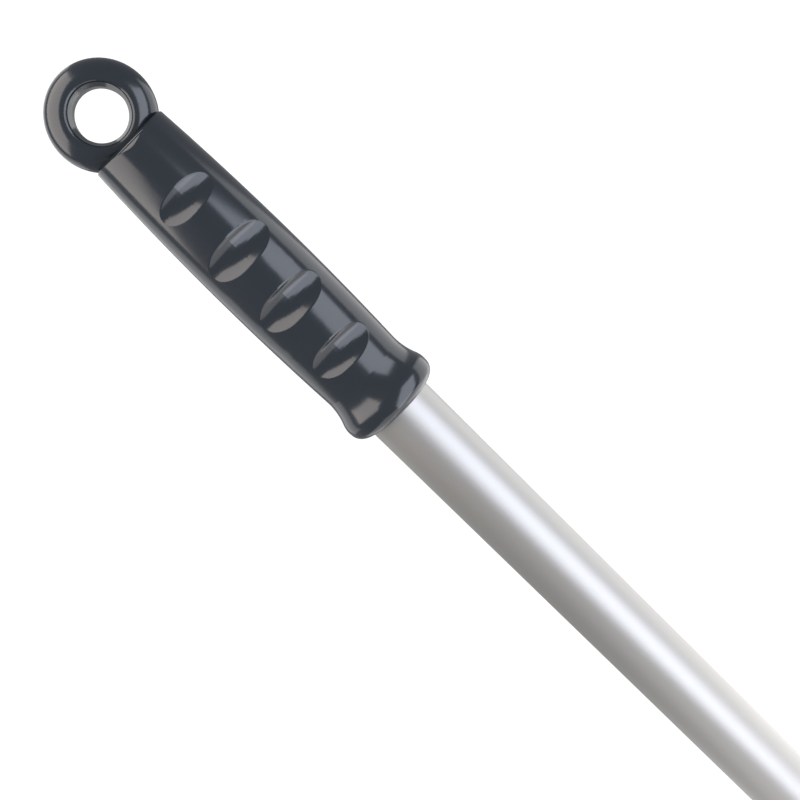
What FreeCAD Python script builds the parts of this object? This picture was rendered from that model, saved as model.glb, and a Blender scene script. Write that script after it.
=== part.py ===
import FreeCAD, Part
import math
import os
from types import SimpleNamespace

import Sketcher

# Carpet sweeper: a wheel-driven brush in a low housing with two tipping dust pans, carried on a
# bent-rod bail and a long straight handle. Millimetres. X across, -Y forward, +Y to the user, +Z up.
# The origin is on the floor, under the middle of the head. The handle is parked upright.

os.makedirs("parts", exist_ok=True)
doc = FreeCAD.newDocument("CarpetSweeper")
Vector = FreeCAD.Vector
Rotation = FreeCAD.Rotation


# ---------------------------------------------------------------- the sheet

DRIVING_SIZES = [
    # clearances
    ("running_gap", 0.3, "between pieces that move past each other"),
    ("pin_gap", 0.05, "radial, of a shaft in its bush"),
    ("seat_gap", 0.02, "radial, of a pressed fit"),
    # cover
    ("cover_width", 262, "across, X"),
    ("cover_depth", 206, "front to back, Y"),
    ("cover_bottom", 9, "lower edge above the floor"),
    ("cover_top", 82, "top above the floor"),
    ("cover_corner", 30, "plan corner radius"),
    ("cover_shoulder", 12, "rounding of the top edge"),
    ("cover_wall", 2.5, "shell thickness"),
    ("crown_width", 172, "raised panel on the cover, across"),
    ("crown_depth", 150, "raised panel, front to back"),
    ("crown_height", 2, "raised panel above the cover"),
    ("rib_wall", 3, "partitions and wheel box plates"),
    ("bumper_thick", 4, "stand-out of the bumper strip"),
    ("bumper_low", 16, "lower edge of the strip"),
    ("bumper_high", 34, "upper edge of the strip"),
    # brush
    ("side_room", 6, "from the cover's side to the wheel box"),
    ("brush_height", 30, "brush axis above the floor"),
    ("brush_radius", 29.5, "over the bristle tips"),
    ("core_radius", 12, "wooden core"),
    ("shaft_radius", 3, "brush shaft"),
    ("drum_radius", 16, "drive drum"),
    # wheels
    ("wheel_radius", 24, "over the tyre"),
    ("tyre_thick", 4.5, "tyre, from the hub out"),
    ("tyre_width", 14, "tyre and drum"),
    ("axle_radius", 2.5, "wheel axle"),
    ("box_inside", 18, "between the wheel box plates"),
    ("box_end_room", 4, "wheel box past the wheels"),
    ("web_room", 2, "wheel box web above the wheels and drums"),
    # dust pans
    ("pan_wall", 1.5, "pan thickness"),
    ("pan_floor", 9.5, "underside of the pan"),
    ("pan_top", 50, "top of the outer wall"),
    ("hinge_inset", 9, "pan rod in from the cover's face"),
    ("hinge_height", 14.5, "pan rod above the floor"),
    ("hinge_radius", 2, "pan rod"),
    ("lip_radius", 32.2, "pan lip from the brush axis"),
    ("crank_length", 11.2, "pan rod to crank pin"),
    ("crank_rise", 30, "degrees above level at rest"),
    ("pin_radius", 2, "crank pin"),
    # release button
    ("button_radius", 8, "button"),
    ("button_stand", 14, "button above the cover"),
    ("bar_height", 8, "pusher bar, top to bottom"),
    ("bar_width", 4, "pusher bar, side to side"),
    ("bar_low", 66, "underside of the pusher bar"),
    ("ledge_height", 32, "top of the spring ledge"),
    ("coil_radius", 3.6, "return spring, to the middle of its wire"),
    ("coil_wire", 0.45, "radius of the spring wire"),
    # bail
    ("bail_wire", 3.5, "radius of the bail rods"),
    ("bail_stand", 11, "from the cover's side to a bail rod"),
    ("bush_wall", 2, "bushes, round their shafts"),
    ("pivot_height", 45, "bail pivot above the floor"),
    ("leg_top", 160, "where the rods turn inwards"),
    ("neck_height", 222, "where the rods turn up again"),
    ("neck_half", 10.5, "from the middle to a rod in the socket"),
    # handle
    ("tube_radius", 11, "outside of the handle tubes"),
    ("tube_wall", 1, "tube wall"),
    ("tube_start", 268, "lower end of the handle"),
    ("tube_length", 295, "each handle tube"),
    ("collar_length", 12, "between two tubes"),
    ("spigot_length", 32, "of a collar, inside a tube"),
    ("socket_wall", 3, "sleeve of the socket, round the tube"),
    ("socket_length", 58, "depth of the tube in the socket"),
    ("snap_height", 298, "snap button above the floor"),
    ("snap_radius", 3.5, "snap button"),
    # grip
    ("grip_depth", 95.5, "depth of the tube in the grip"),
    ("rim_wall", 5, "flared rim, round the tube"),
    ("barrel_length", 108.8, "shoulder to rim"),
    ("shoulder_wall", 1.75, "top of the barrel, round the tube"),
    ("waist_wall", 2.95, "above the flare, round the tube"),
    ("barrel_swell", 1.18, "bulge of the barrel between them"),
    ("ring_drop", 10, "ring centre above the shoulder"),
    ("ring_radius", 15.9, "outside of the ring"),
    ("hole_radius", 7.75, "hanging hole"),
    ("ring_half_thick", 6.4, "half the thickness of the ring"),
    ("hole_land", 5.8, "straight middle of the hanging hole"),
    ("hole_mouth", 9, "radius of the hole at the ring's faces"),
    ("scoop_pitch", 20.3, "one finger"),
    ("scoop_radius", 6.8, "of a scoop along the handle"),
    ("scoop_wall", 1.2, "left under a scoop, round the tube"),
    ("scoop_swing", 32.1, "radius of the scoops' row across the handle"),
    ("first_scoop", 32.5, "below the ring centre"),
]


class Size:
    """A value together with the sheet formula that gives it."""

    def __init__(self, value, text):
        self.value = float(value)
        self.text = text

    def __add__(self, other):
        other = as_size(other)
        return Size(self.value + other.value, "(" + self.text + " + " + other.text + ")")

    def __sub__(self, other):
        other = as_size(other)
        return Size(self.value - other.value, "(" + self.text + " - " + other.text + ")")

    def __mul__(self, other):
        other = as_size(other)
        return Size(self.value * other.value, "(" + self.text + " * " + other.text + ")")

    def __truediv__(self, other):
        other = as_size(other)
        return Size(self.value / other.value, "(" + self.text + " / " + other.text + ")")

    def __radd__(self, other):
        return as_size(other) + self

    def __rsub__(self, other):
        return as_size(other) - self

    def __rmul__(self, other):
        return as_size(other) * self

    def __neg__(self):
        return Size(-self.value, "(0 - " + self.text + ")")


def as_size(item):
    if isinstance(item, Size):
        return item
    return Size(item, "(" + repr(float(item)) + ")")


def root(item):
    return Size(math.sqrt(item.value), "sqrt(" + item.text + ")")


def larger(first, second):
    text = "max(" + first.text + "; " + second.text + ")"
    return Size(max(first.value, second.value), text)


def sine(item):
    return Size(math.sin(math.radians(item.value)), "sin(" + item.text + ")")


def cosine(item):
    return Size(math.cos(math.radians(item.value)), "cos(" + item.text + ")")


def fill_sheet():
    sheet = doc.addObject("Spreadsheet::Sheet", "Sizes")
    sizes = SimpleNamespace()
    for row, (alias, value, meaning) in enumerate(DRIVING_SIZES, start=1):
        sheet.set("A%d" % row, str(value))
        sheet.setAlias("A%d" % row, alias)
        sheet.set("B%d" % row, meaning)
        setattr(sizes, alias, Size(value, "Sizes." + alias))
    doc.recompute()
    return sizes


S = fill_sheet()

# Sizes that follow from the driving ones.
HALF_WIDTH = S.cover_width / 2
HALF_DEPTH = S.cover_depth / 2
BOX_END = HALF_WIDTH - S.side_room
PLATE_OUT = BOX_END - S.rib_wall
PLATE_IN = PLATE_OUT - S.box_inside
CHAMBER_HALF = PLATE_IN - S.rib_wall
WHEEL_X = PLATE_IN + S.box_inside / 2
REACH = S.wheel_radius + S.drum_radius + S.running_gap
RISE = S.brush_height - S.wheel_radius
WHEEL_Y = root(REACH * REACH - RISE * RISE)
BOX_HALF = WHEEL_Y + S.wheel_radius + S.box_end_room
WEB_LOW = larger(S.wheel_radius * 2, S.brush_height + S.drum_radius) + S.web_room
WEB_TOP = WEB_LOW + S.rib_wall
HINGE_Y = HALF_DEPTH - S.hinge_inset
PAN_HALF = CHAMBER_HALF - 2
BAR_HIGH = S.bar_low + S.bar_height
PIN_Y = HINGE_Y - S.crank_length * cosine(S.crank_rise)
PIN_Z = S.hinge_height + S.crank_length * sine(S.crank_rise)
LEG_Y = HINGE_Y - S.crank_length + 1.2
SPRING_Y = LEG_Y - 8.5
COVER_CEILING = S.cover_top - S.cover_wall
STUB_END = BOX_END + 1.3
BAIL_HALF = HALF_WIDTH + S.bail_stand
PIVOT_BUSH = S.bail_wire + S.bush_wall
BRUSH_BUSH = S.shaft_radius + S.bush_wall
SLEEVE_TOP = S.tube_start + S.socket_length
HANDLE_PITCH = S.tube_length + S.collar_length
TUBE_TOP = S.tube_start + HANDLE_PITCH * 2 + S.tube_length
TUBE_BORE = S.tube_radius - S.tube_wall
SLEEVE_RADIUS = S.tube_radius + S.socket_wall
RIM_BELOW = S.ring_drop + S.barrel_length
RING_Z = TUBE_TOP - S.grip_depth + RIM_BELOW
SHOULDER = S.tube_radius + S.shoulder_wall
WAIST = S.tube_radius + S.waist_wall
RIM = S.tube_radius + S.rim_wall
SCOOP_REACH = S.tube_radius + S.scoop_wall
QUARTER = 1 - math.sqrt(0.5)


# ---------------------------------------------------------------- tools

TURN = {
    "x": Rotation(Vector(0, 1, 0), 90),
    "y": Rotation(Vector(1, 0, 0), -90),
    "z": Rotation(),
}


def bind(obj, prop, item):
    obj.setExpression(prop, as_size(item).text)


def place(obj, where, turn=None):
    obj.Placement = FreeCAD.Placement(Vector(0, 0, 0), turn or Rotation())
    for axis, item in zip("xyz", where):
        bind(obj, "Placement.Base." + axis, item)
    return obj


def box(name, x, y, z):
    """A box between the two ends given for each axis."""
    solid = doc.addObject("Part::Box", name)
    bind(solid, "Length", x[1] - as_size(x[0]))
    bind(solid, "Width", y[1] - as_size(y[0]))
    bind(solid, "Height", z[1] - as_size(z[0]))
    return place(solid, (x[0], y[0], z[0]))


def rod(name, axis, radius, span, at):
    """A cylinder along an axis, from span[0] to span[1]; at gives the two other coordinates."""
    solid = doc.addObject("Part::Cylinder", name)
    bind(solid, "Radius", radius)
    bind(solid, "Height", span[1] - as_size(span[0]))
    where = {
        "x": (span[0], at[0], at[1]),
        "y": (at[0], span[0], at[1]),
        "z": (at[0], at[1], span[0]),
    }
    return place(solid, where[axis], TURN[axis])


def fuse(name, items):
    whole = doc.addObject("Part::MultiFuse", name)
    whole.Shapes = items
    return whole


def cut(name, base, tools):
    rest = doc.addObject("Part::Cut", name)
    rest.Base = base
    rest.Tool = tools[0] if len(tools) == 1 else fuse(name + "_tools", tools)
    return rest


def common(name, first, second):
    shared = doc.addObject("Part::Common", name)
    shared.Base = first
    shared.Tool = second
    return shared


def across(side, near, far):
    """The two ends along X of something between near and far on one side of the middle."""
    if side > 0:
        return (near, far)
    return (-as_size(far), -as_size(near))


def new_body(name):
    return doc.addObject("PartDesign::Body", name)


def new_sketch(body, name, plane, level=0):
    """A sketch on one of the body's origin planes, moved along its normal by level."""
    sketch = body.newObject("Sketcher::SketchObject", name)
    base = [item for item in body.Origin.OriginFeatures if item.Role == plane][0]
    sketch.AttachmentSupport = [(base, "")]
    sketch.MapMode = "FlatFace"
    bind(sketch, "AttachmentOffset.Base.z", level)
    return sketch


def pin_down(sketch, geometry, corner, point):
    """Tie a point of the sketch to its two coordinates."""
    for axis, kind, item in ((-2, "DistanceX", point[0]), (-1, "DistanceY", point[1])):
        item = as_size(item)
        if abs(item.value) < 1e-9:
            sketch.addConstraint(Sketcher.Constraint("PointOnObject", geometry, corner, axis))
            continue
        number = sketch.addConstraint(Sketcher.Constraint(kind, -1, 1, geometry, corner, item.value))
        sketch.setExpression("Constraints[%d]" % number, item.text)


def bind_radius(sketch, geometry, item):
    item = as_size(item)
    number = sketch.addConstraint(Sketcher.Constraint("Radius", geometry, item.value))
    sketch.setExpression("Constraints[%d]" % number, item.text)


def add_arc(sketch, start, middle, end):
    """Add an arc through three points. Gives its number and which of its ends is which."""
    turn = (middle - start).cross(end - middle).z
    if turn > 0:
        return sketch.addGeometry(Part.Arc(start, middle, end), False), 1, 2
    return sketch.addGeometry(Part.Arc(end, middle, start), False), 2, 1


def crown_of(start, end, bulge):
    """The middle of an arc that stands out by bulge to the left of the way from start to end."""
    chord = end - start
    left = Vector(-chord.y, chord.x, 0).normalize()
    return start + chord * 0.5 + left * bulge


def outline(sketch, points):
    """A closed outline. A third value at a point is the bulge of the arc that leaves it."""
    corners = [Vector(as_size(p[0]).value, as_size(p[1]).value, 0) for p in points]
    ends = []
    for i, point in enumerate(points):
        start = corners[i]
        end = corners[(i + 1) % len(points)]
        if len(point) < 3:
            number = sketch.addGeometry(Part.LineSegment(start, end), False)
            ends.append((number, 1, 2))
            continue
        crown = crown_of(start, end, as_size(point[2]).value)
        ends.append(add_arc(sketch, start, crown, end))
    for i, point in enumerate(points):
        number, first, last = ends[i]
        following, next_first, _ = ends[(i + 1) % len(points)]
        meet = Sketcher.Constraint("Coincident", number, last, following, next_first)
        sketch.addConstraint(meet)
        pin_down(sketch, number, first, point)
        if len(point) == 3:
            after = points[(i + 1) % len(points)]
            along = as_size(after[0]) - point[0]
            up = as_size(after[1]) - point[1]
            bulge = as_size(point[2])
            size = bulge if bulge.value > 0 else -bulge
            bind_radius(sketch, number, (along * along + up * up) / (size * 8) + size / 2)
    return sketch


def ring(sketch, centre, radius):
    middle = Vector(as_size(centre[0]).value, as_size(centre[1]).value, 0)
    circle = Part.Circle(middle, Vector(0, 0, 1), as_size(radius).value)
    number = sketch.addGeometry(circle, False)
    pin_down(sketch, number, 3, centre)
    bind_radius(sketch, number, radius)
    return sketch


def rounded(half_x, half_y, corner):
    """The outline of a rectangle about the origin with rounded corners."""
    in_x = as_size(half_x) - corner
    in_y = as_size(half_y) - corner
    bulge = as_size(corner) * QUARTER
    return [
        (in_x, -as_size(half_y), -bulge),
        (half_x, -in_y),
        (half_x, in_y, -bulge),
        (in_x, half_y),
        (-in_x, half_y, -bulge),
        (-as_size(half_x), in_y),
        (-as_size(half_x), -in_y, -bulge),
        (-in_x, -as_size(half_y)),
    ]


def pad(body, sketch, length, both_ways=False):
    solid = body.newObject("PartDesign::Pad", sketch.Name + "_pad")
    solid.Profile = sketch
    bind(solid, "Length", length)
    solid.SideType = "Symmetric" if both_ways else "One side"
    return solid


def pocket(body, sketch, length, both_ways=False, along_normal=False):
    hollow = body.newObject("PartDesign::Pocket", sketch.Name + "_pocket")
    hollow.Profile = sketch
    bind(hollow, "Length", length)
    hollow.SideType = "Symmetric" if both_ways else "One side"
    hollow.Reversed = along_normal
    return hollow


def turned(body, sketch, axis="V_Axis", groove=False):
    kind = "Groove" if groove else "Revolution"
    solid = body.newObject("PartDesign::" + kind, sketch.Name + "_turned")
    solid.Profile = sketch
    solid.ReferenceAxis = (sketch, [axis])
    solid.Angle = 360
    return solid


def spun(name, points, where=(0, 0, 0), turn=None):
    """A body turned about its own Z axis from an outline of (radius, height) points."""
    body = new_body(name)
    sketch = outline(new_sketch(body, name + "_profile", "XZ_Plane"), points)
    turned(body, sketch)
    return place(body, where, turn)


def sleeve_outline(inner, outer, low, high):
    return [(inner, low), (outer, low), (outer, high), (inner, high)]


def fillet(body, base, radius, edges):
    doc.recompute()
    names = ["Edge%d" % (i + 1) for i, edge in enumerate(base.Shape.Edges) if edges(edge)]
    soft = body.newObject("PartDesign::Fillet", base.Name + "_fillet")
    soft.Base = (base, names)
    bind(soft, "Radius", radius)
    return soft


def flat_at(height):
    """Picks the edges that lie level at a height."""
    def test(edge):
        limits = edge.BoundBox
        return abs(limits.ZMin - height.value) < 1e-4 and abs(limits.ZMax - height.value) < 1e-4
    return test


def on_torus(shape, minor):
    """Picks the edges of the ring-shaped faces with the given minor radius."""
    faces = [face for face in shape.Faces if face.Surface.TypeId == "Part::GeomToroid"]
    faces = [face for face in faces if abs(face.Surface.MinorRadius - minor.value) < 1e-4]
    rims = [edge for face in faces for edge in face.Edges]
    return lambda edge: any(edge.isSame(rim) for rim in rims)


# ---------------------------------------------------------------- the cover

def cover_block(name, inset, low, high, shoulder):
    """The rounded block of the cover, taken in by inset on every side."""
    body = new_body(name)
    sketch = new_sketch(body, name + "_plan", "XY_Plane", low)
    outline(sketch, rounded(HALF_WIDTH - inset, HALF_DEPTH - inset, S.cover_corner - inset))
    solid = pad(body, sketch, high - as_size(low))
    fillet(body, solid, shoulder, flat_at(as_size(high)))
    return body


def partitions(side):
    """The walls between the brush chamber and one wheel compartment."""
    x = across(side, CHAMBER_HALF, PLATE_IN)
    past_box = BOX_HALF + S.running_gap
    top = S.cover_top
    name = "partition_%s" % ("right" if side > 0 else "left")
    return [
        box(name + "_front", x, (-HALF_DEPTH, -past_box), (S.cover_bottom, top)),
        box(name + "_rear", x, (past_box, HALF_DEPTH), (S.cover_bottom, top)),
        box(name + "_middle", x, (-past_box, past_box), (WEB_TOP, top)),
    ]


SCREW_STEPS = [(-5.5, -1), (5.7, -1), (-5.5, 1), (5.7, 1)]
SCREW_Y = BOX_HALF - 10


def screw_places():
    """Where the wheel box screws stand: four in each box, clear of the pusher bar."""
    return [(side * (WHEEL_X + dx), end * SCREW_Y) for side in (-1, 1) for dx, end in SCREW_STEPS]


def tuft_places():
    inset = 12.5
    return [
        (sx * (HALF_WIDTH - inset + 2.5), sy * (HALF_DEPTH - inset - 3))
        for sx in (-1, 1)
        for sy in (-1, 1)
    ]


def cover_fittings():
    """Everything that is moulded inside the cover."""
    parts = partitions(-1) + partitions(1)
    for number, (x, y) in enumerate(screw_places()):
        parts.append(rod("screw_boss_%d" % number, "z", 2.8, (WEB_TOP, S.cover_top), (x, y)))
    for number, (x, y) in enumerate(tuft_places()):
        parts.append(rod("tuft_boss_%d" % number, "z", 4.5, (26, S.cover_top), (x, y)))
    for side, word in ((-1, "left"), (1, "right")):
        span = across(side, STUB_END - 0.5, HALF_WIDTH)
        parts.append(rod("pivot_boss_" + word, "x", PIVOT_BUSH + 3.5, span, (0, S.pivot_height)))
    for sign, word in ((-1, "front"), (1, "rear")):
        y = sorted([sign * (SPRING_Y - 5), sign * (SPRING_Y + 4.5)], key=lambda item: item.value)
        x = (CHAMBER_HALF, HALF_WIDTH)
        parts.append(box("ledge_" + word, x, y, (S.ledge_height - 2, S.ledge_height)))
    guide = rod("button_guide", "z", S.button_radius + 2.5, (BAR_HIGH + 1, S.cover_top),
                (WHEEL_X, 0))
    parts.append(guide)
    return fuse("cover_fittings", parts)


def park_stops():
    """Blocks on the cover's sides that the bail leans against when the handle is parked."""
    near = S.bail_wire + S.running_gap
    stops = []
    for side, word in ((-1, "left"), (1, "right")):
        x = across(side, HALF_WIDTH - 1, BAIL_HALF + 1)
        z = (S.pivot_height + 13, S.pivot_height + 23)
        stops.append(box("park_stop_" + word, x, (-(near + 6), -near), z))
    return stops


def cover_holes():
    holes = []
    for sign, word in ((-1, "front"), (1, "rear")):
        radius = S.hinge_radius + S.pin_gap
        span = (-(PLATE_IN + 1), PLATE_IN + 1)
        holes.append(rod("hinge_bore_" + word, "x", radius, span, (sign * HINGE_Y, S.hinge_height)))
    for number, (x, y) in enumerate(screw_places()):
        holes.append(rod("screw_bore_%d" % number, "z", 1.5, (WEB_TOP - 1, WEB_TOP + 12), (x, y)))
    for number, (x, y) in enumerate(tuft_places()):
        holes.append(rod("tuft_bore_%d" % number, "z", 2.5, (20, 36), (x, y)))
    for side, word in ((-1, "left"), (1, "right")):
        span = across(side, STUB_END - 1.5, HALF_WIDTH + 1)
        radius = PIVOT_BUSH + S.seat_gap
        holes.append(rod("bush_bore_" + word, "x", radius, span, (0, S.pivot_height)))
    radius = S.button_radius + S.running_gap
    holes.append(rod("button_bore", "z", radius, (BAR_HIGH, S.cover_top + 1), (WHEEL_X, 0)))
    return holes


def cover_crown():
    """The raised panel on the cover's top, with an eased edge."""
    body = new_body("cover_crown")
    sketch = new_sketch(body, "crown_plan", "XY_Plane", S.cover_top - 1)
    outline(sketch, rounded(S.crown_width / 2, S.crown_depth / 2, S.cover_corner * 0.8))
    solid = pad(body, sketch, S.crown_height + 1)
    fillet(body, solid, S.crown_height * 0.7, flat_at(S.cover_top + S.crown_height))
    return body


def make_top_cover():
    outer = cover_block("cover_outer", 0, S.cover_bottom, S.cover_top, S.cover_shoulder)
    low = S.cover_bottom - 1
    shoulder = S.cover_shoulder - S.cover_wall
    inner = cover_block("cover_inner", S.cover_wall, low, COVER_CEILING, shoulder)
    shell = cut("cover_shell", outer, [inner])
    inside = common("cover_inside", outer, cover_fittings())
    whole = fuse("cover_whole", [shell, inside, cover_crown()] + park_stops())
    return cut("top_cover", whole, cover_holes())


def make_bumper():
    body = new_body("bumper_strip")
    sketch = new_sketch(body, "bumper_plan", "XY_Plane", S.bumper_low)
    gap = S.seat_gap
    thick = S.bumper_thick
    outline(sketch, rounded(HALF_WIDTH + thick, HALF_DEPTH + thick, S.cover_corner + thick))
    outline(sketch, rounded(HALF_WIDTH + gap, HALF_DEPTH + gap, S.cover_corner + gap))
    solid = pad(body, sketch, S.bumper_high - S.bumper_low)
    outer_x = HALF_WIDTH + thick
    outer_y = HALF_DEPTH + thick

    def outside(edge):
        limits = edge.BoundBox
        level = limits.ZMax - limits.ZMin < 1e-4
        middle = edge.valueAt((edge.FirstParameter + edge.LastParameter) / 2)
        far_x = abs(middle.x) > outer_x.value - 1e-3
        far_y = abs(middle.y) > outer_y.value - 1e-3
        corner = S.cover_corner.value + thick.value
        gone = Vector(abs(middle.x) - (outer_x.value - corner), abs(middle.y) - (outer_y.value - corner), 0)
        round_corner = min(gone.x, gone.y) > 0 and gone.Length > corner - 1e-3
        return level and (far_x or far_y or round_corner)

    fillet(body, solid, S.bumper_thick * 0.45, outside)
    return body


# ---------------------------------------------------------------- wheels and brush

def make_wheel_box(side, word):
    """A U bracket: two plates joined by a web, with the axle and brush holes."""
    half = BOX_HALF
    low = S.cover_bottom + 1
    plates = [
        box("box_%s_inner" % word, across(side, CHAMBER_HALF, PLATE_IN), (-half, half), (low, WEB_TOP)),
        box("box_%s_outer" % word, across(side, PLATE_OUT, BOX_END), (-half, half), (low, WEB_TOP)),
        box("box_%s_web" % word, across(side, PLATE_IN - 1, PLATE_OUT + 1), (-half, half),
            (WEB_LOW, WEB_TOP)),
    ]
    through = across(side, CHAMBER_HALF - 1, BOX_END + 1)
    tools = []
    for sign, end in ((-1, "front"), (1, "rear")):
        name = "box_%s_axle_%s" % (word, end)
        radius = S.axle_radius + S.seat_gap
        tools.append(rod(name, "x", radius, through, (sign * WHEEL_Y, S.wheel_radius)))
    radius = S.shaft_radius + S.pin_gap
    tools.append(rod("box_%s_shaft" % word, "x", radius, through, (0, S.brush_height)))
    inner = across(side, CHAMBER_HALF - 1, PLATE_IN + 1)
    radius = BRUSH_BUSH + S.seat_gap
    tools.append(rod("box_%s_bush" % word, "x", radius, inner, (0, S.brush_height)))
    for number, (dx, end) in enumerate(SCREW_STEPS):
        name = "box_%s_screw_%d" % (word, number)
        spot = (side * (WHEEL_X + dx), end * SCREW_Y)
        tools.append(rod(name, "z", 1.7, (WEB_LOW - 1, WEB_TOP + 1), spot))
    whole = fuse("box_%s_whole" % word, plates)
    return cut("wheel_box_" + word, whole, tools)


def make_screws():
    """Pan-head screws up through the webs into the cover's bosses."""
    parts = []
    for number, (x, y) in enumerate(screw_places()):
        head_low = WEB_LOW - 2.2
        shank = rod("screw_shank_%d" % number, "z", 1.48, (head_low + 1, WEB_TOP + 9), (x, y))
        head = rod("screw_head_%d" % number, "z", 2.6, (head_low, WEB_LOW), (x, y))
        slot = box("screw_slot_%d" % number, (x - 3, x + 3), (y - 0.4, y + 0.4),
                   (head_low - 1, head_low + 0.9))
        parts.append(cut("screw_%d" % number, fuse("screw_blank_%d" % number, [shank, head]), [slot]))
    screws = doc.addObject("Part::Compound", "wheel_box_screws")
    screws.Links = parts
    return screws


def make_axle(name, side, sign):
    span = across(side, CHAMBER_HALF, BOX_END)
    return rod(name, "x", S.axle_radius, span, (sign * WHEEL_Y, S.wheel_radius))


def wheel_place(side, sign):
    return (side * WHEEL_X, sign * WHEEL_Y, S.wheel_radius)


def make_hub(name, side, sign):
    """A wheel hub: boss, dished web and rim, turned about the axle."""
    bore = S.axle_radius + S.pin_gap
    boss = S.axle_radius + 3.5
    half = S.box_inside / 2 - 1
    rim = S.tyre_width / 2
    edge = S.wheel_radius - S.tyre_thick
    points = [
        (bore, -half), (boss, -half), (boss, -2.5), (edge - 3, -2.5), (edge - 3, -rim),
        (edge, -rim), (edge, rim), (edge - 3, rim), (edge - 3, 2.5), (boss, 2.5), (boss, half),
        (bore, half),
    ]
    return spun(name, points, wheel_place(side, sign), TURN["x"])


def make_tyre(name, side, sign):
    """A rubber tyre with rounded shoulders, pressed on the hub."""
    inner = S.wheel_radius - S.tyre_thick + S.seat_gap
    half = S.tyre_width / 2
    soft = 1.5
    points = [
        (inner, -half), (S.wheel_radius - soft, -half, -soft * QUARTER),
        (S.wheel_radius, soft - half), (S.wheel_radius, half - soft, -soft * QUARTER),
        (S.wheel_radius - soft, half), (inner, half),
    ]
    return spun(name, points, wheel_place(side, sign), TURN["x"])


def make_brush():
    reach = BOX_END - 1
    core_half = CHAMBER_HALF - 3
    rod("brush_shaft", "x", S.shaft_radius, (-reach, reach), (0, S.brush_height))
    bore = S.shaft_radius + S.seat_gap
    flange = S.core_radius + 2
    points = [
        (bore, -core_half), (flange, -core_half), (flange, 3 - core_half),
        (S.core_radius, 3 - core_half), (S.core_radius, core_half - 3), (flange, core_half - 3),
        (flange, core_half), (bore, core_half),
    ]
    spun("brush_core", points, (0, 0, S.brush_height), TURN["x"])


def make_bristles():
    """Four rows of bristles along the core, as solid strips."""
    body = new_body("brush_bristles")
    sketch = new_sketch(body, "bristle_end", "YZ_Plane")
    half = 3.2
    foot = S.core_radius + S.seat_gap
    tip = root(S.brush_radius * S.brush_radius - (half + 1) * (half + 1))
    outline(sketch, [(-half, foot), (half, foot), (half + 1, tip), (-half - 1, tip)])
    solid = pad(body, sketch, (CHAMBER_HALF - 6.3) * 2, both_ways=True)
    rows = body.newObject("PartDesign::PolarPattern", "bristle_rows")
    rows.Originals = [solid]
    rows.Axis = ([item for item in body.Origin.OriginFeatures if item.Role == "X_Axis"][0], [""])
    rows.Angle = 360
    rows.Occurrences = 4
    body.Tip = rows
    return place(body, (0, 0, S.brush_height))


def make_drum(side, word):
    """A drive drum with shallow grooves, pressed on the brush shaft."""
    bore = S.shaft_radius + S.seat_gap
    half = S.tyre_width / 2
    points = sleeve_outline(bore, S.drum_radius, -half, half)
    return spun("drive_drum_" + word, points, (side * WHEEL_X, 0, S.brush_height), TURN["x"])


def make_brush_bush(side, word):
    """A flanged bush in the inner plate of a wheel box."""
    bore = S.shaft_radius + S.pin_gap
    points = [
        (bore, 0), (BRUSH_BUSH + 2, 0), (BRUSH_BUSH + 2, 1), (BRUSH_BUSH, 1),
        (BRUSH_BUSH, S.rib_wall + 1), (bore, S.rib_wall + 1),
    ]
    turn = TURN["x"] if side < 0 else Rotation(Vector(0, 1, 0), -90)
    return spun("brush_bush_" + word, points, (side * (PLATE_IN + 1), 0, S.brush_height), turn)


# ---------------------------------------------------------------- dust pans

def pan_points():
    """The pan's section for the front, as (Y, Z): outer wall, floor and ramp up to the lip."""
    wall = S.pan_wall
    back = -(HINGE_Y + 4)
    floor = S.pan_floor
    lip_z = S.hinge_height - 0.5
    drop = S.brush_height - lip_z
    lip_y = -root(S.lip_radius * S.lip_radius - drop * drop)
    ramp = lip_y - 12
    return [
        (back, floor + 3), (back + 2, floor), (ramp, floor), (lip_y, lip_z - wall),
        (lip_y, lip_z), (ramp, floor + wall), (back + wall + 1, floor + wall),
        (back + wall, floor + wall + 1.5), (back + wall, S.pan_top), (back, S.pan_top),
    ]


def pan_end_points():
    """The pan's end wall for the front, as (Y, Z), kept clear of the brush."""
    back = -(HINGE_Y + 4)
    floor = S.pan_floor
    lip_z = S.hinge_height - 0.5
    drop = S.brush_height - lip_z
    lip_y = -root(S.lip_radius * S.lip_radius - drop * drop)
    return [
        (back, floor + 3), (back + 2, floor), (lip_y - 12, floor), (lip_y, lip_z - S.pan_wall),
        (lip_y, lip_z), (lip_y - 12, S.brush_height), (back + 24, S.pan_top), (back, S.pan_top),
    ]


def make_pan(sign, word):
    body = new_body("dust_pan_" + word)
    section = outline(new_sketch(body, "pan_section_" + word, "YZ_Plane"), flip(sign, pan_points()))
    pad(body, section, PAN_HALF * 2, both_ways=True)
    for side, hand in ((-1, "left"), (1, "right")):
        level = -PAN_HALF if side < 0 else PAN_HALF - S.pan_wall
        name = "pan_end_%s_%s" % (word, hand)
        end = outline(new_sketch(body, name, "YZ_Plane", level), flip(sign, pan_end_points()))
        pad(body, end, S.pan_wall)
    curl = new_sketch(body, "pan_curl_" + word, "YZ_Plane")
    ring(curl, (sign * HINGE_Y, S.hinge_height), S.hinge_radius + 2)
    pad(body, curl, PAN_HALF * 2, both_ways=True)
    bore = new_sketch(body, "pan_bore_" + word, "YZ_Plane")
    ring(bore, (sign * HINGE_Y, S.hinge_height), S.hinge_radius + S.seat_gap)
    pocket(body, bore, PAN_HALF * 2 + 2, both_ways=True)
    return body


def flip(sign, points):
    """The front outline as it is, or its mirror image for the rear."""
    if sign < 0:
        return points
    backwards = points[::-1]
    bulges = [point[2:] for point in backwards[1:] + backwards[:1]]
    return [(-as_size(point[0]), point[1]) + bulge for point, bulge in zip(backwards, bulges)]


CRANK_PLATE = 3
CRANK_INSET = 2


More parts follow.
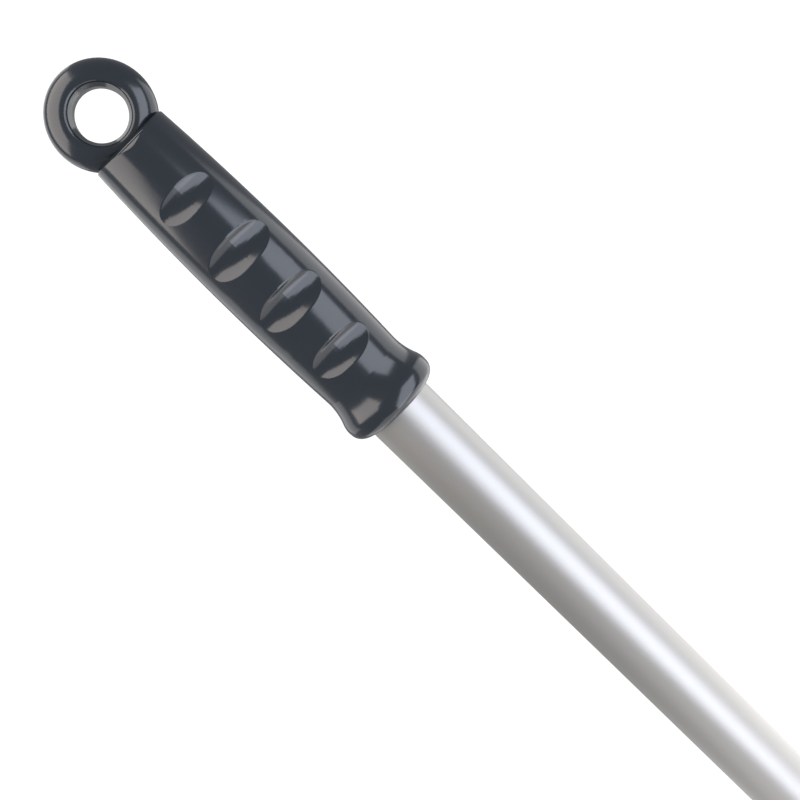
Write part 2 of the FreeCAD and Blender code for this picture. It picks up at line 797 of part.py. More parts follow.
def make_pan_rod(sign, word):
    crank_in = PLATE_IN + CRANK_INSET
    span = (-(PLATE_IN + 1), crank_in + CRANK_PLATE)
    return rod("pan_rod_" + word, "x", S.hinge_radius, span, (sign * HINGE_Y, S.hinge_height))


def make_crank(sign, word):
    """A crank pressed on the end of a pan rod, with its pin under the pusher's leg."""
    near = PLATE_IN + CRANK_INSET
    far = near + CRANK_PLATE
    hinge = (sign * HINGE_Y, S.hinge_height)
    pin = (sign * PIN_Y, PIN_Z)
    arm = doc.addObject("Part::Box", "crank_arm_" + word)
    bind(arm, "Length", S.crank_length)
    bind(arm, "Width", 5)
    bind(arm, "Height", CRANK_PLATE)
    # The arm lies from the rod to the pin. Its box starts on the rod's axis.
    lean = 180 - S.crank_rise.value if sign > 0 else S.crank_rise.value
    stand = Rotation(Vector(1, 0, 0), lean).multiply(Rotation(Vector(1, 1, 1), 120))
    side_step = stand.multVec(Vector(0, -2.5, 0))
    place(arm, (near, hinge[0] + side_step.y, hinge[1] + side_step.z), stand)
    blank = fuse("crank_blank_" + word, [
        arm,
        rod("crank_eye_" + word, "x", S.hinge_radius + 2.5, (near, far), hinge),
        rod("crank_end_" + word, "x", 2.5, (near, far), pin),
        rod("crank_pin_" + word, "x", S.pin_radius, (near + 1, WHEEL_X + 3), pin),
    ])
    bore = rod("crank_bore_" + word, "x", S.hinge_radius + S.seat_gap, (near - 1, far + 1), hinge)
    return cut("pan_crank_" + word, blank, [bore])


# ---------------------------------------------------------------- release button

def make_button():
    """The push button, with a rounded top and a hole for the pusher's stud."""
    top = S.cover_top + S.button_stand
    soft = 2
    points = [
        (2.5 + S.seat_gap, BAR_HIGH + 0.02), (S.button_radius, BAR_HIGH + 0.02),
        (S.button_radius, top - soft, -soft * QUARTER), (S.button_radius - soft, top),
        (0, top), (0, BAR_HIGH + 10.1), (2.5 + S.seat_gap, BAR_HIGH + 10.1),
    ]
    return spun("release_button", points, (WHEEL_X, 0, 0))


def make_pusher():
    """The bar under the button, with a leg down to each crank pin and a spring pad beside it."""
    half = S.bar_width / 2
    x = (WHEEL_X - half, WHEEL_X + half)
    parts = [
        box("pusher_beam", x, (-(LEG_Y + 2.5), LEG_Y + 2.5), (S.bar_low, BAR_HIGH)),
        rod("pusher_stud", "z", 2.5, (BAR_HIGH - 1, BAR_HIGH + 10), (WHEEL_X, 0)),
    ]
    foot = PIN_Z + S.pin_radius + S.running_gap + 0.1
    for sign, word in ((-1, "front"), (1, "rear")):
        y = sorted([sign * (LEG_Y - 2.5), sign * (LEG_Y + 2.5)], key=lambda item: item.value)
        parts.append(box("pusher_leg_" + word, x, y, (foot, S.bar_low + 1)))
        seat = (WHEEL_X, sign * SPRING_Y)
        parts.append(rod("spring_pad_" + word, "z", 4.5, (S.bar_low, S.bar_low + 2), seat))
        parts.append(rod("spring_nose_" + word, "z", 2.2, (S.bar_low - 3, S.bar_low + 1), seat))
    return fuse("pusher_bar", parts)


def make_return_spring(sign, word):
    """An open coil spring between the cover's ledge and the pusher."""
    body = new_body("return_spring_" + word)
    sketch = new_sketch(body, "wire_" + word, "XZ_Plane")
    ring(sketch, (S.coil_radius, 0), S.coil_wire)
    coil = body.newObject("PartDesign::AdditiveHelix", "coil_" + word)
    coil.Profile = sketch
    coil.ReferenceAxis = (sketch, ["V_Axis"])
    coil.Mode = "height-turns-angle"
    height = S.bar_low - S.ledge_height - S.coil_wire * 2 - 0.04
    bind(coil, "Height", height)
    bind(coil, "Turns", 9)
    body.Tip = coil
    low = S.ledge_height + S.coil_wire + 0.02
    return place(body, (WHEEL_X, sign * SPRING_Y, low))


# ---------------------------------------------------------------- bail and socket

def bent_path(sketch, points, radius):
    """An open run of straight lines joined by arcs of one radius at the inner points."""
    places = [Vector(as_size(p[0]).value, as_size(p[1]).value, 0) for p in points]
    bend = as_size(radius).value
    cuts = []
    for i in range(1, len(places) - 1):
        back = (places[i - 1] - places[i]).normalize()
        ahead = (places[i + 1] - places[i]).normalize()
        half_turn = (math.pi - back.getAngle(ahead)) / 2
        step = bend * math.tan(half_turn)
        middle = (back + ahead).normalize() * (bend / math.cos(half_turn)) + places[i]
        cuts.append((places[i] + back * step, middle, places[i] + ahead * step))
    starts = [places[0]] + [item[2] for item in cuts]
    stops = [item[0] for item in cuts] + [places[-1]]
    lines = [sketch.addGeometry(Part.LineSegment(a, b), False) for a, b in zip(starts, stops)]
    pin_down(sketch, lines[0], 1, points[0])
    pin_down(sketch, lines[-1], 2, points[-1])
    for i, (first, middle, last) in enumerate(cuts):
        inward = (first + last) * 0.5 - middle
        crown = middle + inward.normalize() * bend
        arc, begin, finish = add_arc(sketch, first, crown, last)
        sketch.addConstraint(Sketcher.Constraint("Tangent", lines[i], 2, arc, begin))
        sketch.addConstraint(Sketcher.Constraint("Tangent", arc, finish, lines[i + 1], 1))
        bind_radius(sketch, arc, radius)
        corner = sketch.addGeometry(Part.Point(places[i + 1]), True)
        pin_down(sketch, corner, 1, points[i + 1])
        sketch.addConstraint(Sketcher.Constraint("PointOnObject", corner, 1, lines[i]))
        sketch.addConstraint(Sketcher.Constraint("PointOnObject", corner, 1, lines[i + 1]))
    return sketch


PIVOT_BEND = 8.5
SOCKET_FLOOR = 22


def make_bail_rod(side, word):
    """A steel rod: in through the pivot bush, up the side, in over the head and up the socket."""
    body = new_body("bail_rod_" + word)
    path = new_sketch(body, "bail_path_" + word, "XZ_Plane")
    end = S.tube_start - 6
    points = [
        (side * STUB_END, S.pivot_height), (side * BAIL_HALF, S.pivot_height),
        (side * BAIL_HALF, S.leg_top), (side * S.neck_half, S.neck_height),
        (side * S.neck_half, end),
    ]
    bent_path(path, points, PIVOT_BEND)
    section = new_sketch(body, "bail_section_" + word, "YZ_Plane", side * STUB_END)
    ring(section, (0, S.pivot_height), S.bail_wire)
    doc.recompute()
    swept = body.newObject("PartDesign::AdditivePipe", "bail_sweep_" + word)
    swept.Profile = section
    swept.Spine = path
    return body


def make_pivot_bush(side, word):
    """A flanged bush pressed into the cover's side, in which the bail rod turns."""
    bore = S.bail_wire + S.pin_gap
    wall = HALF_WIDTH - STUB_END + 0.5
    points = [
        (bore, -wall), (PIVOT_BUSH, -wall), (PIVOT_BUSH, 0.02), (PIVOT_BUSH + 2.5, 0.02),
        (PIVOT_BUSH + 2.5, 1.5), (bore, 1.5),
    ]
    turn = TURN["x"] if side > 0 else Rotation(Vector(0, 1, 0), -90)
    return spun("pivot_bush_" + word, points, (side * HALF_WIDTH, 0, S.pivot_height), turn)


def make_socket():
    """The moulding that joins the two bail rods to the lower tube."""
    body = new_body("handle_socket")
    low = S.tube_start - SOCKET_FLOOR - 14
    block = new_sketch(body, "socket_block", "XY_Plane", low)
    outline(block, rounded(S.neck_half + S.bail_wire + 4, S.bail_wire + 8, 9))
    base = pad(body, block, SOCKET_FLOOR + 14 + 4)
    fillet(body, base, 2.5, flat_at(low))
    neck = new_sketch(body, "socket_neck", "XY_Plane", S.tube_start - 4)
    ring(neck, (0, 0), SLEEVE_RADIUS)
    sleeve = pad(body, neck, S.socket_length + 4)
    fillet(body, sleeve, 1.2, flat_at(SLEEVE_TOP))
    bore = new_sketch(body, "socket_bore", "XY_Plane", SLEEVE_TOP + 1)
    ring(bore, (0, 0), S.tube_radius + S.pin_gap)
    pocket(body, bore, S.socket_length + 1)
    for side, word in ((-1, "left"), (1, "right")):
        hole = new_sketch(body, "socket_hole_" + word, "XY_Plane", low - 1)
        ring(hole, (side * S.neck_half, 0), S.bail_wire + S.seat_gap)
        pocket(body, hole, S.tube_start - 6 - low + 1.1, along_normal=True)
    window = new_sketch(body, "socket_window", "XZ_Plane")
    ring(window, (0, S.snap_height), S.snap_radius + S.running_gap)
    pocket(body, window, SLEEVE_RADIUS + 2, along_normal=True)
    return body


def make_snap():
    """The spring button of the tube, and the bent leaf behind it."""
    base = TUBE_BORE - 1.5
    crown = SLEEVE_RADIUS + 1.5
    soft = 1.2
    flange = S.snap_radius + 1
    points = [
        (0, base - 0.8), (flange, base - 0.8), (flange, base), (S.snap_radius, base),
        (S.snap_radius, crown - soft, -soft * QUARTER), (S.snap_radius - soft, crown), (0, crown),
    ]
    spun("snap_button", points, (0, 0, S.snap_height), Rotation(Vector(1, 0, 0), 90))
    body = new_body("snap_spring")
    sketch = new_sketch(body, "leaf_side", "YZ_Plane")
    leaf = 0.5
    front = -(base - 0.85)
    back = TUBE_BORE - 0.75
    bend = 4
    inner = bend - leaf
    drop = -18
    outline(sketch, [
        (front, 5), (front, drop, -bend * QUARTER), (front + bend, drop - bend),
        (back - bend, drop - bend, -bend * QUARTER), (back, drop), (back, 5), (back - leaf, 5),
        (back - leaf, drop, inner * QUARTER), (back - bend, drop - inner),
        (front + bend, drop - inner, inner * QUARTER), (front + leaf, drop), (front + leaf, 5),
    ])
    pad(body, sketch, 6, both_ways=True)
    place(body, (0, 0, S.snap_height))


# ---------------------------------------------------------------- handle

def make_tube(number, word):
    """A plain handle tube; the lower one has a window for the snap button."""
    body = new_body("tube_" + word)
    low = S.tube_start + HANDLE_PITCH * number
    sketch = new_sketch(body, "tube_end_" + word, "XY_Plane")
    ring(sketch, (0, 0), S.tube_radius)
    ring(sketch, (0, 0), TUBE_BORE)
    pad(body, sketch, S.tube_length)
    if number == 0:
        window = new_sketch(body, "tube_window", "XZ_Plane")
        ring(window, (0, S.snap_height - low), S.snap_radius + S.running_gap)
        pocket(body, window, S.tube_radius + 2, along_normal=True)
    return place(body, (0, 0, low))


def make_joint(number, word):
    """A collar between two tubes, with a hollow spigot into each."""
    low = S.tube_start + HANDLE_PITCH * number - S.collar_length
    spigot = TUBE_BORE - S.seat_gap
    bore = spigot - 2
    collar = S.tube_radius + 0.8
    reach = S.spigot_length
    points = [
        (bore, -reach), (spigot - 1, -reach), (spigot, 1 - reach), (spigot, 0.02),
        (collar - 0.6, 0.02), (collar, 0.62), (collar, S.collar_length - 0.62),
        (collar - 0.6, S.collar_length - 0.02), (spigot, S.collar_length - 0.02),
        (spigot, S.collar_length + reach - 1), (spigot - 1, S.collar_length + reach),
        (bore, S.collar_length + reach),
    ]
    return spun("tube_joint_" + word, points, (0, 0, low))


def barrel_points():
    """The grip's half section below the ring centre, as (radius, height)."""
    top = -(S.ring_drop + 0.4)
    rim = -RIM_BELOW
    waist = rim + 15
    soft = 0.5
    flare = rim + 7
    lip = 3.6
    bore = S.tube_radius + S.pin_gap + 0.03
    bore_end = rim + S.grip_depth + 0.1
    return [
        (0, top), (SHOULDER - soft, top, soft * QUARTER),
        (SHOULDER, top - soft, S.barrel_swell), (WAIST, waist, -0.415),
        (RIM - 0.4, flare, 0.2), (RIM, rim + lip, lip * QUARTER), (RIM - lip, rim),
        (bore + 0.8, rim, 0.8 * QUARTER), (bore, rim + 0.8), (bore, bore_end), (0, bore_end),
    ]


HOLE_LIP = 1.2
SCOOP_EDGE = 0.8


def samples(edge):
    first = edge.FirstParameter
    length = edge.LastParameter - first
    return [edge.valueAt(first + length * step / 6) for step in range(7)]


def grip_necks(body):
    """Rounds the barrel's front and back over to a shoulder at the thickness of the ring."""
    near = S.ring_half_thick - 0.1
    far = SHOULDER + 0.3
    high = -(S.hole_mouth + 1.7)
    soft = 2.6
    edge = high - 0.5
    for sign, word in ((-1, "front"), (1, "rear")):
        sketch = new_sketch(body, "neck_" + word, "YZ_Plane")
        outline(sketch, flip(sign, [
            (-near, high + 4), (-far - 5, high + 4), (-far - 5, edge - soft),
            (-far, edge - soft, soft * QUARTER), (soft - far, edge), (-near, high),
        ]))
        pocket(body, sketch, RIM * 2, both_ways=True)


def grip_ring(body):
    """The ring at the top, round outside, turned about the Y axis, then its waisted hole."""
    sketch = new_sketch(body, "ring_section", "XY_Plane")
    half = S.ring_half_thick
    core = S.ring_radius - half
    inner = S.hole_radius - 1
    outline(sketch, [
        (inner, -half), (core, -half, -half * QUARTER), (S.ring_radius, 0, -half * QUARTER),
        (core, half), (inner, half),
    ])
    turned(body, sketch)
    land = S.hole_land / 2
    flare = (S.hole_mouth - S.hole_radius) / (half - land)
    beyond = 2
    mouth = S.hole_mouth + flare * beyond
    hole = new_sketch(body, "hanging_hole", "XY_Plane")
    outline(hole, [
        (0, -half - beyond), (mouth, -half - beyond), (S.hole_radius, -land),
        (S.hole_radius, land), (mouth, half + beyond), (0, half + beyond),
    ])
    opened = turned(body, hole, groove=True)

    def mouth_edge(edge):
        points = samples(edge)
        level = all(abs(abs(point.y) - half.value) < 0.05 for point in points)
        around = all(abs(math.hypot(point.x, point.z) - S.hole_mouth.value) < 0.05 for point in points)
        return level and around

    return fillet(body, opened, HOLE_LIP, mouth_edge)


def grip_scoops(body):
    """Four saddle-shaped finger scoops in the front of the barrel."""
    sketch = new_sketch(body, "scoop_section", "YZ_Plane")
    lowest = S.first_scoop + S.scoop_pitch * 3
    middle = -(SCOOP_REACH + S.scoop_radius)
    swing = S.scoop_swing + middle
    ring(sketch, (middle, -lowest), S.scoop_radius)
    axis = sketch.addGeometry(Part.LineSegment(Vector(swing.value, 0, 0), Vector(swing.value, 9, 0)), True)
    pin_down(sketch, axis, 1, (swing, 0))
    pin_down(sketch, axis, 2, (swing, 9))
    scoop = turned(body, sketch, "Axis0", groove=True)
    row = body.newObject("PartDesign::LinearPattern", "scoop_row")
    row.Originals = [scoop]
    row.Direction = ([item for item in body.Origin.OriginFeatures if item.Role == "Z_Axis"][0], [""])
    bind(row, "Length", S.scoop_pitch * 3)
    row.Occurrences = 4
    body.Tip = row
    doc.recompute()
    return fillet(body, row, SCOOP_EDGE, on_torus(row.Shape, S.scoop_radius))


def make_grip():
    body = new_body("grip")
    barrel = outline(new_sketch(body, "barrel_section", "XZ_Plane"), barrel_points())
    turned(body, barrel)
    grip_necks(body)
    grip_ring(body)
    grip_scoops(body)
    return place(body, (0, 0, RING_Z))


def make_tufts():
    """Four fixed edge brushes in the corners of the cover."""
    parts = []
    for number, (x, y) in enumerate(tuft_places()):
        parts.append(rod("tuft_%d" % number, "z", 2.48, (1, 34), (x, y)))
    tufts = doc.addObject("Part::Compound", "corner_tufts")
    tufts.Links = parts
    return tufts


# ---------------------------------------------------------------- assembly

def make_all():
    names = ["top_cover", "bumper_strip", "wheel_box_screws", "corner_tufts"]
    names += ["brush_shaft", "brush_core", "brush_bristles", "handle_socket"]
    names += ["snap_button", "snap_spring", "release_button", "pusher_bar", "grip"]
    make_top_cover()
    make_bumper()
    make_screws()
    make_tufts()
    make_brush()
    make_bristles()
    make_button()
    make_pusher()
    make_socket()
    make_snap()
    make_grip()
    for side, word in ((-1, "left"), (1, "right")):
        make_wheel_box(side, word)
        make_drum(side, word)
        make_brush_bush(side, word)
        make_bail_rod(side, word)
        make_pivot_bush(side, word)
        names += [kind + word for kind in
                  ("wheel_box_", "drive_drum_", "brush_bush_", "bail_rod_", "pivot_bush_")]
        for sign, end in ((-1, "front"), (1, "rear")):
            corner = end + "_" + word
            make_axle("wheel_axle_" + corner, side, sign)
            make_hub("wheel_hub_" + corner, side, sign)
            make_tyre("tyre_" + corner, side, sign)
            names += ["wheel_axle_" + corner, "wheel_hub_" + corner, "tyre_" + corner]
    for sign, word in ((-1, "front"), (1, "rear")):
        make_pan(sign, word)
        make_pan_rod(sign, word)
        make_crank(sign, word)
        make_return_spring(sign, word)
        names += [kind + word for kind in
                  ("dust_pan_", "pan_rod_", "pan_crank_", "return_spring_")]
    for number, word in enumerate(("lower", "middle", "upper")):
        make_tube(number, word)
        names.append("tube_" + word)
    for number, word in ((1, "lower"), (2, "upper")):
        make_joint(number, word)
        names.append("tube_joint_" + word)
    return names


def check_document():
    for obj in doc.Objects:
        if "Invalid" in obj.State or "Error" in obj.State:
            raise RuntimeError("failed feature: " + obj.Label)
        if obj.TypeId in ("PartDesign::Pocket", "PartDesign::Groove"):
            before = obj.BaseFeature.Shape.Volume
            if before - obj.Shape.Volume < 0.1:
                raise RuntimeError("cuts nothing: " + obj.Label)


def write_parts(names):
    for name in names:
        shape = doc.getObject(name).Shape
        if shape.isNull() or not shape.isValid():
            raise RuntimeError("bad solid: " + name)
        shape.exportStep("parts/" + name + ".step")
        print("%-28s %2d solid(s) %12.1f mm3" % (name, len(shape.Solids), shape.Volume))


part_names = make_all()
doc.recompute()
check_document()
write_parts(part_names)
print(len(part_names), "nodes")
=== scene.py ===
import math
import random

import bmesh
import bpy
from mathutils import Matrix, Vector


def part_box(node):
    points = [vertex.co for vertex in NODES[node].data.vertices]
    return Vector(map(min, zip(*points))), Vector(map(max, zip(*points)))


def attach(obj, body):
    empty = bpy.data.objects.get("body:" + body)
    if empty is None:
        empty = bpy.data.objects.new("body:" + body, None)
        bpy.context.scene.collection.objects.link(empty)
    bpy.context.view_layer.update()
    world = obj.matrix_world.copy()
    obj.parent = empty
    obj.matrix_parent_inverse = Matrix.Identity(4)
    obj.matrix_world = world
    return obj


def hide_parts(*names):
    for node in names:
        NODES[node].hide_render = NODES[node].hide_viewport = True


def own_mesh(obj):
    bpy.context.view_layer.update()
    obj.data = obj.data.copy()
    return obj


# Carpet sweeper, parked upright on a pale floor. Metres; X across, -Y to the front, Z up.

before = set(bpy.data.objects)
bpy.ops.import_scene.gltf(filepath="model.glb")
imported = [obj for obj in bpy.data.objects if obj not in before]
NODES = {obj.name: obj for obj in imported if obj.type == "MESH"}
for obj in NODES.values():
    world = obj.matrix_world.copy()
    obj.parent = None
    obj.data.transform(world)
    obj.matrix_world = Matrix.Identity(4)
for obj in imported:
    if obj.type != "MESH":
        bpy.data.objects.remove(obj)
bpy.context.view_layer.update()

MM = 0.001


# ---------------------------------------------------------------- sizes read from the frame

def middle(node):
    """The middle of a CAD node's box."""
    low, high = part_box(node)
    return (Vector(low) + Vector(high)) / 2


def reach(node):
    """The size of a CAD node's box."""
    low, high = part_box(node)
    return Vector(high) - Vector(low)


FRONT_BACK = ("front", "rear")
LEFT_RIGHT = ("left", "right")

GRIP_LOW, GRIP_HIGH = (Vector(corner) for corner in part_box("grip"))
RIM_HEIGHT = GRIP_LOW.z
RIM_RADIUS = reach("grip").x / 2


# ---------------------------------------------------------------- small tools

def linear(hex_colour):
    """An sRGB hex colour as linear red, green, blue and alpha."""
    parts = [int(hex_colour[i:i + 2], 16) / 255 for i in (1, 3, 5)]
    bent = [p / 12.92 if p <= 0.04045 else ((p + 0.055) / 1.055) ** 2.4 for p in parts]
    return (*bent, 1.0)


def add_node(tree, kind, settings=None, links=None):
    """Adds a node. Settings go to its sockets or properties, links are socket: (node, output)."""
    node = tree.nodes.new(kind)
    for name, value in (settings or {}).items():
        if name in node.inputs:
            node.inputs[name].default_value = value
        else:
            setattr(node, name, value)
    for name, (source, output) in (links or {}).items():
        tree.links.new(source.outputs[output], node.inputs[name])
    return node


def new_material(name, colour, roughness, **sockets):
    """A Principled material; gives the material, its tree and its shader."""
    material = bpy.data.materials.new(name)
    material.use_nodes = True
    tree = material.node_tree
    shader = next(node for node in tree.nodes if node.type == "BSDF_PRINCIPLED")
    shader.inputs["Base Color"].default_value = linear(colour)
    shader.inputs["Roughness"].default_value = roughness
    for name, value in sockets.items():
        shader.inputs[name.replace("_", " ")].default_value = value
    material.diffuse_color = linear(colour)
    return material, tree, shader


def grain(tree, shader, size_mm, depth_mm, detail=2.0, stretch=(1, 1, 1)):
    """A fine surface grain as bump: noise of a real size, stretched along an axis if wanted."""
    place = add_node(tree, "ShaderNodeTexCoord")
    turn = add_node(tree, "ShaderNodeMapping", {"Scale": stretch}, {"Vector": (place, "Object")})
    noise = add_node(tree, "ShaderNodeTexNoise", {"Scale": 1 / (size_mm * MM), "Detail": detail},
                     {"Vector": (turn, "Vector")})
    bump = add_node(tree, "ShaderNodeBump", {"Strength": 1.0, "Distance": depth_mm * MM},
                    {"Height": (noise, "Fac")})
    tree.links.new(bump.outputs["Normal"], shader.inputs["Normal"])


def vary_roughness(tree, shader, low, high, size_mm):
    """Lets the gloss drift a little over the surface, as handling and moulding leave it."""
    place = add_node(tree, "ShaderNodeTexCoord")
    noise = add_node(tree, "ShaderNodeTexNoise", {"Scale": 1 / (size_mm * MM), "Detail": 3.0},
                     {"Vector": (place, "Object")})
    span = add_node(tree, "ShaderNodeMapRange", {"To Min": low, "To Max": high},
                    {"Value": (noise, "Fac")})
    tree.links.new(span.outputs["Result"], shader.inputs["Roughness"])


def paint(material, *nodes):
    """Puts a material on CAD nodes."""
    for name in nodes:
        slots = NODES[name].data.materials
        slots.clear()
        slots.append(material)


def nodes_like(*starts):
    """The names of the CAD nodes that begin with one of the given words."""
    return [name for name in NODES if name.startswith(starts)]


# ---------------------------------------------------------------- materials

def grip_plastic():
    # Glossy polypropylene, dark slate: deep colour with clean, slightly soft highlights.
    material, tree, shader = new_material("glossy moulded polypropylene, slate", "#171D24",
                                          roughness=0.17, IOR=1.6)
    grain(tree, shader, size_mm=1.1, depth_mm=0.003, detail=1.0)
    return material


def cover_plastic():
    # The cover's plastic: the same slate, moulded with a fine leather grain that breaks the shine.
    material, tree, shader = new_material("semi-gloss moulded plastic, slate, fine grain", "#20272F",
                                          roughness=0.36, IOR=1.5)
    grain(tree, shader, size_mm=0.8, depth_mm=0.03, detail=3.0)
    vary_roughness(tree, shader, low=0.3, high=0.42, size_mm=25)
    return material


def plain_plastic(name, colour, low, high):
    # Plainly moulded plastic: an even colour with a drifting satin gloss.
    material, tree, shader = new_material(name, colour, roughness=low)
    grain(tree, shader, size_mm=0.5, depth_mm=0.01)
    vary_roughness(tree, shader, low, high, size_mm=15)
    return material


def soft_rubber(name, colour):
    # Rubber: nearly black, matt, with a dusty, slightly uneven surface.
    material, tree, shader = new_material(name, colour, roughness=0.75, IOR=1.45)
    grain(tree, shader, size_mm=0.35, depth_mm=0.03, detail=4.0)
    vary_roughness(tree, shader, low=0.65, high=0.85, size_mm=8)
    return material


def tube_aluminium():
    # Satin anodised aluminium: a broad soft shine with a faint lengthwise draw.
    material, tree, shader = new_material("satin anodised aluminium tube", "#B3B2B0",
                                          roughness=0.47, Metallic=1.0)
    grain(tree, shader, size_mm=0.25, depth_mm=0.0006, stretch=(1, 1, 0.02))
    return material


def bare_metal(name, colour, low, high, draw_mm):
    # Plated or drawn metal: full metallic reflection with a fine drift in the polish.
    material, tree, shader = new_material(name, colour, roughness=low, Metallic=1.0)
    grain(tree, shader, draw_mm, depth_mm=0.001)
    vary_roughness(tree, shader, low, high, size_mm=6)
    return material


def painted_steel():
    # Pressed sheet steel under grey stoving paint, with a faint orange peel.
    material, tree, shader = new_material("grey stoving paint on pressed steel", "#6A6C6F",
                                          roughness=0.38, Coat_Weight=0.25)
    grain(tree, shader, size_mm=1.6, depth_mm=0.02, detail=1.0)
    return material


def turned_beech():
    # Turned beech under clear lacquer: warm bands 2.5 mm wide that run along the core.
    material, tree, shader = new_material("lacquered turned beech", "#B98A5A", roughness=0.4,
                                          Coat_Weight=0.3)
    band_mm = 2.5
    place = add_node(tree, "ShaderNodeTexCoord")
    along = add_node(tree, "ShaderNodeMapping", {"Scale": (0.06, 1, 1)},
                     {"Vector": (place, "Object")})
    bands = add_node(tree, "ShaderNodeTexNoise", {"Scale": 1 / (band_mm * MM), "Detail": 5.0},
                     {"Vector": (along, "Vector")})
    tone = add_node(tree, "ShaderNodeValToRGB", None, {"Fac": (bands, "Fac")})
    tone.color_ramp.elements[0].position = 0.35
    tone.color_ramp.elements[0].color = linear("#8E6238")
    tone.color_ramp.elements[1].position = 0.7
    tone.color_ramp.elements[1].color = linear("#CFA375")
    tree.links.new(tone.outputs["Color"], shader.inputs["Base Color"])
    return material


def nylon_bristle():
    # Black nylon filament: dark, with a soft sheen that changes from tuft to tuft.
    material, tree, shader = new_material("black nylon bristle", "#17171A", roughness=0.45,
                                          IOR=1.53)
    vary_roughness(tree, shader, low=0.35, high=0.6, size_mm=3)
    return material


grip_finish = grip_plastic()
cover_finish = cover_plastic()
tube_finish = tube_aluminium()
steel_finish = painted_steel()
beech_finish = turned_beech()
bristle_finish = nylon_bristle()
bumper_finish = soft_rubber("soft bumper rubber, near black", "#191919")
tyre_finish = soft_rubber("ribbed tyre rubber, matt black", "#1B1B1B")
drum_finish = soft_rubber("ribbed drum rubber, charcoal", "#222222")
acetal_finish = plain_plastic("acetal, off-white", "#D8D6CC", 0.32, 0.45)
wheel_finish = plain_plastic("moulded wheel plastic, slate grey", "#3E434A", 0.38, 0.5)
pan_finish = plain_plastic("moulded pan plastic, slate", "#333942", 0.42, 0.55)
frame_finish = plain_plastic("moulded frame plastic, grey", "#46484C", 0.4, 0.55)
button_finish = plain_plastic("moulded button plastic, light slate", "#6E7883", 0.3, 0.42)
chrome_finish = bare_metal("bright nickel-chrome plating", "#C9C9CC", 0.06, 0.12, 0.8)
zinc_finish = bare_metal("zinc-plated steel", "#A9AAAD", 0.28, 0.4, 0.5)
snap_finish = bare_metal("plated snap button", "#BDBDC0", 0.18, 0.26, 0.5)
spring_finish = bare_metal("bright drawn spring wire", "#8A8B8E", 0.25, 0.38, 0.3)

paint(grip_finish, "grip", "handle_socket", *nodes_like("tube_joint_"))
paint(tube_finish, "tube_lower", "tube_middle", "tube_upper")
paint(cover_finish, "top_cover")
paint(bumper_finish, "bumper_strip")
paint(steel_finish, "wheel_box_left", "wheel_box_right")
paint(drum_finish, *nodes_like("drive_drum_"))
paint(acetal_finish, *nodes_like("brush_bush_", "pivot_bush_"))
paint(chrome_finish, *nodes_like("bail_rod_"))
paint(zinc_finish, "wheel_box_screws", "brush_shaft",
      *nodes_like("wheel_axle_", "pan_rod_", "pan_crank_"))
paint(wheel_finish, *nodes_like("wheel_hub_"))
paint(tyre_finish, *nodes_like("tyre_"))
paint(bristle_finish, "corner_tufts", "brush_bristles")
paint(beech_finish, "brush_core")
paint(snap_finish, "snap_button")
paint(spring_finish, "snap_spring", *nodes_like("return_spring_"))
paint(button_finish, "release_button")
paint(frame_finish, "pusher_bar")
paint(pan_finish, *nodes_like("dust_pan_"))


# ---------------------------------------------------------------- ribbed tyres and drums

POINTS_A_RIB = 4
RUNNING_GAP = 0.02 * MM
DRUM_RIBS, DRUM_RIB_MM = 36, 0.7
TYRE_RIBS, TYRE_RIB_MM = 54, 0.5
SHAFT_RADIUS = reach("brush_shaft").y / 2
HUB_RADIUS = reach("wheel_hub_front_left").y / 2


def choose(mesh, wanted):
    """In edit mode, selects the vertices for which wanted(vertex) is true, and only those."""
    bpy.ops.mesh.select_mode(type="VERT")
    bpy.ops.mesh.select_all(action="DESELECT")
    shape = bmesh.from_edit_mesh(mesh)
    for vertex in shape.verts:
        vertex.select = wanted(vertex)
    shape.select_flush(True)
    bmesh.update_edit_mesh(mesh)


def ribbed_ring(name, node, bore, ribs, depth_mm, body, finish):
    """A sleeve along X with lengthwise ribs round it, in place of a smooth CAD sleeve."""
    size = reach(node)
    outside = size.y / 2
    points = ribs * POINTS_A_RIB
    bpy.ops.object.select_all(action="DESELECT")
    bpy.ops.mesh.primitive_cylinder_add(vertices=points, radius=outside, depth=size.x,
                                        end_fill_type="NOTHING", location=middle(node),
                                        rotation=(0, math.pi / 2, 0))
    ring = bpy.context.object
    ring.name = name
    bpy.ops.object.transform_apply(location=False, rotation=True, scale=True)
    bpy.ops.object.mode_set(mode="EDIT")
    step = math.tau / points

    def in_groove(vertex):
        number = round(math.atan2(vertex.co.z, vertex.co.y) / step)
        return number % POINTS_A_RIB < POINTS_A_RIB / 2

    choose(ring.data, in_groove)
    lower = 1 - depth_mm * MM / outside
    bpy.ops.transform.resize(value=(1, lower, lower))
    bpy.ops.mesh.primitive_cylinder_add(vertices=points, radius=bore, depth=size.x,
                                        end_fill_type="NOTHING", location=middle(node),
                                        rotation=(0, math.pi / 2, 0))
    for side in (-1, 1):
        choose(ring.data, lambda vertex: vertex.co.x * side > size.x / 4)
        bpy.ops.mesh.select_mode(type="EDGE")
        bpy.ops.mesh.bridge_edge_loops()
    bpy.ops.mesh.select_all(action="SELECT")
    bpy.ops.mesh.normals_make_consistent(inside=False)
    bpy.ops.object.mode_set(mode="OBJECT")
    bpy.ops.object.transform_apply(location=True, rotation=True, scale=True)
    ring.data.materials.append(finish)
    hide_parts(node)
    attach(ring, body)


